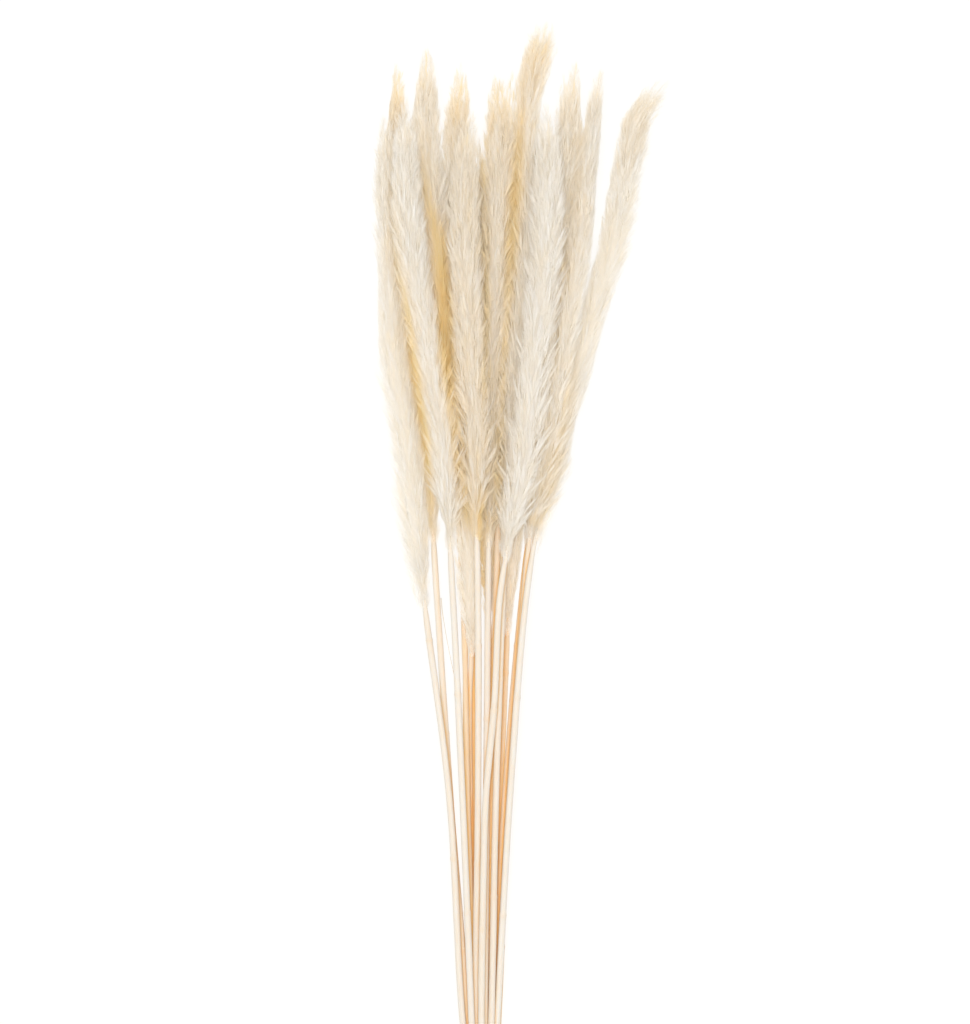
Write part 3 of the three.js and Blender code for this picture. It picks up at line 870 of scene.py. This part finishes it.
@dataclass
class Plume:
    """One plume: a rachis, a dense inner down, tufts all over it and, at its top, the free ends of branches.

    The masters are straight loose tufts to copy; the barbs are tight ones, which stand out of the outline.
    """

    stalk: Stalk
    masters: list[Shape]
    barbs: list[Shape]
    tuft_length: float = 23.0
    branches: int = 16
    branch_length: Pair = (95.0, 40.0)
    branch_tuft_every: float = 6.0
    sides: int = 3
    core_share: float = 0.46
    core_sides: int = 20
    core_rings: int = 64
    core_below: float = 14.0
    mingle: float = 8.5
    tuft_vertices: int = 48
    unevenness: float = 0.09
    proud_share: float = 0.24
    proud_share_low: float = 0.2
    proud_reach: Pair = (1.06, 1.34)
    plain_reach: Pair = (0.78, 0.98)
    least_reach: float = 2.2
    pushed_out: float = 0.75
    steepest: float = 0.34
    barbs_from: float = 0.3
    neck_count: int = 64
    inner_tone: float = 0.3
    crevice_shade_tone: float = 0.34
    warm_tone: float = 0.3
    tan_tone: float = 0.4
    streak_tone: float = 0.07

    def spread(self, y: Array) -> Array:
        """Returns how far branches may stand from the axis: wispy tips stay apart, sleek ones close up."""
        stalk = self.stalk
        share = np.clip(stalk.plume_reach(y) / stalk.reach, 0.02, 1)
        rising = clamp((y - stalk.neck) / FILL_LENGTH)
        return stalk.reach * np.where(rising < 1, share, share ** CLOSING[stalk.down])

    def branch_lines(self, rng: Random) -> list[Array]:
        """Returns the top branches, each as rows of height, turn round the axis and distance from it."""
        stalk = self.stalk
        lines = []
        for k in range(self.branches):
            share = k / (self.branches - 1)
            length = np.interp(share, [0, 1], self.branch_length) * rng.uniform(0.9, 1.1)
            end = stalk.tip - (1 - share) ** 1.4 * 70 * min(1, stalk.taper / 75) - rng.uniform(1, 5)
            t = np.linspace(0, 1, 9)
            y = end - length + length * t
            turn = k * GOLDEN_ANGLE + rng.uniform(-0.2, 0.2) + rng.uniform(-0.25, 0.25) * t
            out = rng.uniform(0.5, 0.85) * (1 - (1 - t) ** 2.2) * self.spread(np.minimum(y, stalk.tip - 4))
            lines.append(np.stack([y, turn, out], axis=1))
        return lines

    def end_lines(self, rng: Random) -> list[Array]:
        """Returns the stray ends that stand out of the outline, as rows like those of the top branches."""
        stalk = self.stalk
        lines = []
        for x, y, length in stalk.ends:
            t = np.linspace(0, 1, 9)
            heights = y - 5 - length * (1 - t)
            reach = x - stalk.at(heights[-1:])[0, 0]
            start = math.copysign(min(0.45 * stalk.reach, 0.5 * abs(reach) + 1), reach)
            offset = start + (reach - start) * t**1.4
            turn = (0 if reach > 0 else math.pi) + rng.uniform(-0.25, 0.25)
            lines.append(np.stack([heights, np.full(9, turn), np.abs(offset)], axis=1))
        return lines

    def head_tufts(self, rng: Random) -> Array:
        """Returns rows for the short barbs that stand out all round the plume's top."""
        stalk = self.stalk
        bushy = stalk.down is Down.BUSHY
        count = HEAD_TUFTS[stalk.down]
        y = stalk.tip - 5 - rng.uniform(0, 1, count) ** 0.8 * (130 if bushy else 85)
        turn = np.arange(count) * GOLDEN_ANGLE + rng.normal(0, 0.3, count)
        out = rng.uniform(0.55, 0.85, count) * self.spread(y)
        return np.stack([y, turn, out, rng.uniform(0.3, 0.46 if bushy else 0.4, count)], axis=1)

    def neck_tufts(self, rng: Random) -> Array:
        """Returns rows for the short tufts that close round the top of the cane."""
        count = self.neck_count
        y = self.stalk.neck + rng.uniform(-15, 6, count)
        turn = np.arange(count) * GOLDEN_ANGLE
        return np.stack([y, turn, np.full(count, NECK_RADIUS - 0.1), rng.uniform(0.45, 0.85, count)], axis=1)

    def body_tufts(self, rng: Random) -> Array:
        """Returns rows of height, turn, distance and size for the tufts that cover the plume."""
        stalk = self.stalk
        count = stalk.tufts
        share = (np.arange(count) + rng.uniform(-0.5, 1.5, count)) / count
        bare = 20 if stalk.down is Down.BUSHY else 34
        y = stalk.neck + 1 + (stalk.tip - stalk.neck - bare) * clamp(share)
        turn = np.arange(count) * GOLDEN_ANGLE + rng.normal(0, 0.2, count)
        out = rng.uniform(0.32, 0.66, count) * stalk.plume_reach(y) * clamp((y - stalk.neck) / 14)
        least = 0.8 if stalk.down is Down.BUSHY else 0.6
        size = rng.uniform(0.85, 1.25, count) * np.interp(stalk.tip - y, [0, 60], [least, 1.0])
        return np.stack([y, turn, out, size], axis=1)

    def branch_tufts(self, line: Array, rng: Random, sizes: Pair) -> Array:
        """Returns rows of height, turn, distance and size for the tufts along one branch."""
        length = line[-1, 0] - line[0, 0]
        count = max(int(length / self.branch_tuft_every), 4)
        share = (np.arange(count) + rng.uniform(0, 1, count)) / count
        y = line[0, 0] + length * share
        turn = np.interp(y, line[:, 0], line[:, 1]) + rng.normal(0, 0.2, count)
        out = np.interp(y, line[:, 0], line[:, 2])
        return np.stack([y, turn, out, np.interp(share, [0.3, 1], sizes)], axis=1)

    def lay_tufts(self, places: Array, rng: Random, lean: float | None = None) -> Mesh:
        """Copies tufts to their places, each leaning out so that its tip meets the plume's outline.

        Args:
            places: rows of height, turn, distance and size of the tufts.
            rng: where random values are drawn from.
            lean: how far the tufts lean out from the axis, or None to reach for the outline.

        Returns:
            Offsets from the axis with heights between, and triangles.
        """
        stalk = self.stalk
        tufts = []
        reach = self.spread(np.minimum(places[:, 0] + self.tuft_length * places[:, 3], stalk.tip - 3))
        sky = np.sin(places[:, 1]) > -0.2
        outline = off_axis(places[:, 0], places[:, 1], reach)
        outline[:, [0, 2]] += stalk.at(places[:, 0])
        parted = (stalk.number in PARTED) & (places[:, 0] > PARTED_ABOVE)
        crowd = np.where(sky & ~parted, crowding(stalk, outline), 0)
        phase, drift = rng.uniform(0, 2 * math.pi, 2)
        clump = np.sin(places[:, 0] / 4.6 + phase + 2.4 * np.sin(places[:, 1] + drift))
        reach = reach * (1 + self.unevenness * clump)
        for (y, turn, out, size), tip, pressed in zip(places, reach, crowd):
            low = clamp(1 - (y - stalk.neck) / 120)
            proud = rng.uniform() < self.proud_share + self.proud_share_low * low
            choice = self.barbs if (proud if lean is None else lean > self.barbs_from) else self.masters
            master = choice[rng.integers(len(choice))]
            tip *= 1 + self.pushed_out * pressed
            length = self.tuft_length * size
            if lean is not None:
                tilt = lean + rng.normal(0, 0.13)
            else:
                target = max(tip, self.least_reach) * rng.uniform(*(self.proud_reach if proud else self.plain_reach))
                target *= 1 + stalk.side * low * math.cos(turn)
                steepest = self.steepest + (0.1 + 0.25 * low) * proud + 0.22 * pressed
                tilt = float(np.clip(math.asin(np.clip((target - out) / length, -0.1, 0.95)), -0.1, steepest))
            radial = np.array([math.cos(turn), 0, math.sin(turn)])
            tangent = np.array([-math.sin(turn), 0, math.cos(turn)])
            up = np.array([0, 1.0, 0])
            sway = rng.normal(0, 0.14)
            spine = radial * math.sin(tilt) + up * math.cos(tilt) + tangent * sway
            face = radial * math.cos(tilt) - up * math.sin(tilt)
            roll = rng.uniform(-math.pi, math.pi)
            across = tangent * math.cos(roll) + face * math.sin(roll)
            face = face * math.cos(roll) - tangent * math.sin(roll)
            shape = master.places * size
            placed = radial * out + up * y + shape[:, :1] * across + shape[:, 1:2] * face + shape[:, 2:] * spine
            tufts.append((placed, master.triangles))
        return join(tufts)

    def lay_core(self, rng: Random) -> Mesh:
        """Makes the dense inner down: a closed soft body that the tufts stand out of."""
        stalk = self.stalk
        top = stalk.tip - self.core_below
        heights = np.linspace(stalk.neck + 0.5, top, self.core_rings)
        angles = ring_angles(self.core_sides)
        streaks = rng.uniform(-1, 1, self.core_sides)
        swell = 1 + 0.07 * np.sin(heights[:, None] / 9 + streaks * 6) + 0.05 * streaks
        ends = np.minimum((heights - stalk.neck) / 45, (top - heights) / 110)
        rounding = np.sqrt(clamp(ends))[:, None]
        radius = np.maximum(self.core_share * stalk.reach * rounding * swell, 0.3)
        low = clamp(1 - (heights - stalk.neck) / 140)[:, None]
        radius = radius * (1 + 0.6 * stalk.side * low * np.sin(angles))
        return rod(upright(heights), radius, self.core_sides)

    def lay_lines(self, lines: list[Array], radii: Pair) -> Mesh:
        """Makes a thin closed tube along each row of heights, turns and distances, with radii from root to tip."""
        parts = []
        for y, turn, out in (line.T for line in lines):
            middle = off_axis(y, turn, out)
            parts.append(rod(middle, np.linspace(*radii, len(y))[:, None], self.sides))
        return join(parts)

    def settle(self, offsets: Array, mingle: Array) -> Array:
        """Presses offsets softly back where they would meet the table or a neighbour, and adds the axis.

        Args:
            offsets: offsets from the axis in x and z, with heights between.
            mingle: how far each may go in among a neighbouring plume's hairs.

        Returns:
            Places in the layout.
        """
        y = offsets[:, 1]
        flat = offsets[:, [0, 2]]
        far = np.maximum(np.linalg.norm(flat, axis=1), 1e-6)
        free = free_reach(self.stalk, y, flat / far[:, None], mingle)
        flat = flat * ((1 + (far / free) ** 6) ** (-1 / 6))[:, None]
        middle = self.stalk.at(y)
        x = middle[:, 0] + flat[:, 0]
        for edge in EDGES:
            if edge.number == self.stalk.number:
                x = edge.trim(x, y)
        return np.stack([x, y, middle[:, 1] + flat[:, 1]], axis=1)

    def build(self, finish: Material) -> Piece:
        """Builds the plume along its cane's axis and dresses it with its finish."""
        stalk = self.stalk
        rng = np.random.default_rng(900 + stalk.number)
        lines = self.branch_lines(rng)
        spine = upright(np.linspace(stalk.neck + 0.3, stalk.tip - 12, 30))
        rachis = rod(spine, np.linspace(0.7 * NECK_RADIUS, 0.4, 30)[:, None], self.sides)
        strays = self.end_lines(rng)
        twigs = self.lay_lines(lines + strays, (0.4, 0.15))
        core = self.lay_core(rng)
        down = self.lay_tufts(self.body_tufts(rng), rng)
        ends = [self.branch_tufts(line, rng, (0.9, 0.45)) for line in lines]
        ends += [self.branch_tufts(line, rng, (0.7, 0.45)) for line in strays]
        ends.append(self.neck_tufts(rng))
        tops = self.lay_tufts(np.vstack(ends), rng, 0.05)
        lean = 0.85 if stalk.down is Down.BUSHY else 0.5
        heads = self.lay_tufts(self.head_tufts(rng), rng, lean)
        smooth_parts = [rachis, twigs, core]
        offsets, faces = join([*smooth_parts, down, tops, heads])
        first_hair = sum(len(part) for part, _ in smooth_parts)
        number = np.arange(len(offsets)) - first_hair
        hairy = number >= 0
        vertices = self.settle(offsets, np.where(hairy, self.mingle, 0.0))
        made = write_mesh(f"plume_{stalk.label}_down", vertices, faces, False)
        inner = np.linalg.norm(offsets[:, [0, 2]], axis=1) / np.maximum(stalk.plume_reach(offsets[:, 1]), 3)
        top = clamp(1 - (stalk.tip - offsets[:, 1]) / 70)
        # Gold between crowded plumes is painted warm shade; gold towards the hair roots is the down's own colour.
        tone = self.inner_tone * clamp(0.95 - inner) + self.crevice_shade_tone * crowding(stalk, vertices)
        tone += self.warm_tone * stalk.warmth
        # The seams' gold is painted warm shade along the gaps between plumes.
        tone += sum(shade_seam.warmth(vertices) for shade_seam in SHADE_SEAMS)
        streaks = rng.normal(0, self.streak_tone, len(vertices) // self.tuft_vertices + 2)
        tone += np.where(hairy, streaks[number // self.tuft_vertices], 0)
        tone += self.tan_tone * stalk.tan * top
        set_tone(made, clamp(tone))
        made.data.materials.append(finish)
        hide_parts(f"plume_{stalk.label}")
        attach(made, "root")
        return made


@dataclass
class Tie:
    """A few turns of three-ply jute twine round the canes, closed on top by a small knot with two tails."""

    turns: int = 4
    pitch: float = 2.5
    ply_radius: float = 0.62
    ply_offset: float = 0.56
    twist: float = 7.0
    sides: int = 6
    knot_width: float = 1.15
    tail: tuple = ((1.5, 0, 1.2), (3.4, 4, 0.5), (4.6, 8, -1.1), (5.2, 13, -1.4), (4.4, 20, -1.3))

    def twine(self, path: Array) -> Mesh:
        """Twists three plies along a path of points a short way apart."""
        step = np.gradient(path, axis=0)
        step /= np.linalg.norm(step, axis=1)[:, None]
        across = np.cross(step, (0.12, 1.0, 0.07))
        across /= np.linalg.norm(across, axis=1)[:, None]
        other = np.cross(step, across)
        along = np.concatenate([[0], np.cumsum(np.linalg.norm(np.diff(path, axis=0), axis=1))])
        angles, faces = ring_angles(self.sides), tube(len(path), self.sides)
        plies = []
        for ply in range(3):
            turn = (along / self.twist + ply / 3) * 2 * math.pi
            middle = path + self.ply_offset * (np.cos(turn)[:, None] * across + np.sin(turn)[:, None] * other)
            rings = middle[:, None] + self.ply_radius * (
                np.cos(angles)[None, :, None] * across[:, None] + np.sin(angles)[None, :, None] * other[:, None]
            )
            plies.append((np.vstack([rings.reshape(-1, 3), middle[[0, -1]]]), faces))
        return join(plies)

    def wrap(self) -> Array:
        """Returns the path of the turns: a rounded outline of the canes, advancing along them."""
        top = FIRST_ROW + 3 * ROW_RISE
        corners = [(CANE_PITCH, top), (2 * CANE_PITCH, FIRST_ROW + ROW_RISE), (1.5 * CANE_PITCH, FIRST_ROW)]
        corners += [(-x, z) for x, z in reversed(corners)]
        away = BUTT_RADIUS + TIE_GAP + TWINE / 2
        outline = []
        for (x0, z0), (x1, z1), (x2, z2) in zip(corners[-1:] + corners[:-1], corners, corners[1:] + corners[:1]):
            before = math.atan2(x1 - x0, -(z1 - z0))
            after = math.atan2(x2 - x1, -(z2 - z1))
            while after > before:
                after -= 2 * math.pi
            for angle in np.linspace(before, after, 5):
                outline.append((x1 + away * math.cos(angle), z1 + away * math.sin(angle)))
        loop = np.array(outline + outline[:1])
        along = np.concatenate([[0], np.cumsum(np.linalg.norm(np.diff(loop, axis=0), axis=1))])
        places = np.linspace(0, self.turns * along[-1], int(self.turns * along[-1]))
        x = np.interp(places % along[-1], along, loop[:, 0])
        z = np.interp(places % along[-1], along, loop[:, 1])
        y = (places / along[-1] - self.turns / 2) * self.pitch * (self.turns - 1) / self.turns
        return np.stack([x, y, z], axis=1)

    def knot(self) -> list[Array]:
        """Returns the paths of the knot and its two tails, on top of the turns."""
        t = np.linspace(0, 2 * math.pi, 60)
        top = FIRST_ROW + 3 * ROW_RISE + BUTT_RADIUS + TIE_GAP + TWINE
        loop = np.stack([np.sin(t) + 2 * np.sin(2 * t), np.cos(t) - 2 * np.cos(2 * t), -0.9 * np.sin(3 * t)], axis=1)
        bundle = loop * self.knot_width + (0, 0, top + 1.4)
        tails = []
        for side in (-1, 1):
            points = np.array([(side * x, side * y, top + z) for x, y, z in self.tail], dtype=float)
            tails.append(smooth_curve(points, 30))
        return [bundle, *tails]

    def build(self, finish: Material) -> Piece:
        """Builds the twine and dresses it with its finish."""
        vertices, triangles = join([self.twine(path) for path in (self.wrap(), *self.knot())])
        made = write_mesh("tie_twine", vertices, triangles, True)
        made.data.materials.append(finish)
        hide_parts("tie")
        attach(made, "root")
        return made


@dataclass
class Studio:
    """A pale floor, a large soft light overhead, pale surroundings and the camera."""

    floor_size: float = 12.0
    camera_height: float = 3.0
    frame_height: float = 0.768
    subject_height: float = 0.04
    looks_at: Pair = (2.25, 501.0)
    sensor: float = 36
    lamp_watts: float = 74
    lamp_size: float = 0.9
    sky_strength: float = 0.6

    def build(self) -> None:
        """Sets the stage up."""
        scene = bpy.context.scene
        bpy.ops.object.select_all(action="DESELECT")
        bpy.ops.mesh.primitive_plane_add(size=self.floor_size, location=(0, 0, -0.0003))
        floor = bpy.context.active_object
        floor.name = "studio_floor"
        floor.data.materials.append(PaleFloor().material())
        world = bpy.data.worlds.new("pale surroundings")
        world.use_nodes = True
        back = world.node_tree.nodes["Background"]
        back.inputs["Color"].default_value = (1.0, 0.99, 0.975, 1)
        back.inputs["Strength"].default_value = self.sky_strength
        scene.world = world
        bpy.ops.object.light_add(type="AREA", location=(-0.12, 0.12, 3.3))
        lamp = bpy.context.active_object
        lamp.data.shape = "DISK"
        lamp.data.size = self.lamp_size
        lamp.data.energy = self.lamp_watts
        lamp.rotation_euler = (math.radians(-2), math.radians(-2), 0)
        x, y = ((self.looks_at[k] + SHIFT[k]) * MM for k in (0, 1))
        bpy.ops.object.camera_add(location=(x, y, self.camera_height))
        camera = bpy.context.active_object
        camera.data.sensor_width = self.sensor
        camera.data.lens = self.sensor * (self.camera_height - self.subject_height) / self.frame_height
        camera.data.clip_end = 50
        scene.camera = camera
        scene.view_settings.view_transform = "Standard"
        scene.cycles.max_bounces = 20
        scene.cycles.diffuse_bounces = 14
        scene.cycles.transmission_bounces = 14


def main() -> None:
    """Builds the stage and every piece of the bundle."""
    logging.basicConfig(level=logging.INFO, format="%(message)s")
    Studio().build()
    cane_finish = BleachedCane().material()
    down_finish = SilkyDown().material()
    masters = [Tuft().build(seed) for seed in range(1, 8)]
    barbs = [Tuft(fan=(0.0, 0.15), lift=0.07, scatter=0.4).build(seed) for seed in range(8, 12)]
    total = 0
    for stalk in STALKS:
        cane = Cane(stalk).build(cane_finish)
        plume = Plume(stalk, masters, barbs).build(down_finish)
        total += len(cane.data.polygons) + len(plume.data.polygons)
        log.info("%s %d triangles, %s %d", cane.name, len(cane.data.polygons), plume.name, len(plume.data.polygons))
    tie = Tie().build(JuteTwine().material())
    total += len(tie.data.polygons)
    log.info("%d triangles", total)


if __name__ == "__main__":
    main()
